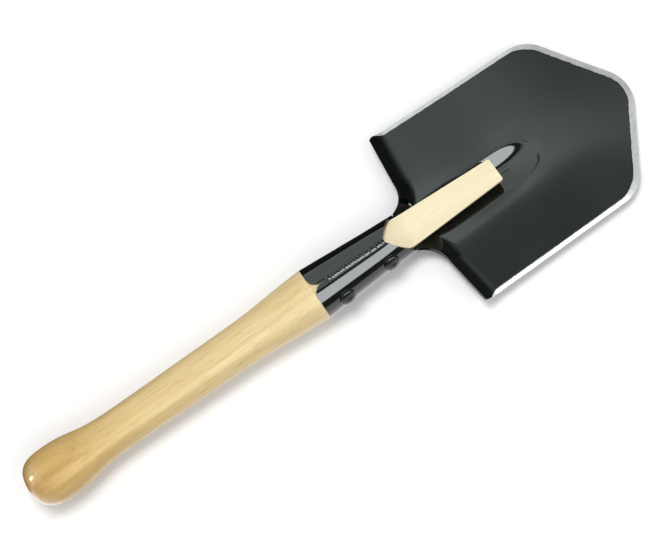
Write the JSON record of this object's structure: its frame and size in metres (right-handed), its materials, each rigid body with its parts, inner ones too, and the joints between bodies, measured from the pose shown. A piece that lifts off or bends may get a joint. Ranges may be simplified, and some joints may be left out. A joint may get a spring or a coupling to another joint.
{
  "type": "camp shovel",
  "caption": "Short camp shovel: pressed-steel pointed blade with rolled socket on a one-piece hardwood handle, for digging and chopping.",
  "frame": {"origin": "on the resting plane under the middle of the length, shovel lying on its back", "axes": "+X along the handle from the knob to the blade's tip, +Z out of the blade's hollow face, +Y to the left"},
  "size_m": [0.508, 0.144, 0.0403],
  "materials": {
    "enamelled_steel": "gloss black enamel over pressed steel, ground bare along the cutting edges",
    "hardwood": "clear satin varnish over a light straight-grained hardwood",
    "black_screw": "black enamel over steel"
  },
  "bodies": {
    "root": {"blade_head": "enamelled_steel", "handle": "hardwood", "socket_screw_front": "black_screw", "socket_screw_rear": "black_screw"}
  },
  "joints": []
}
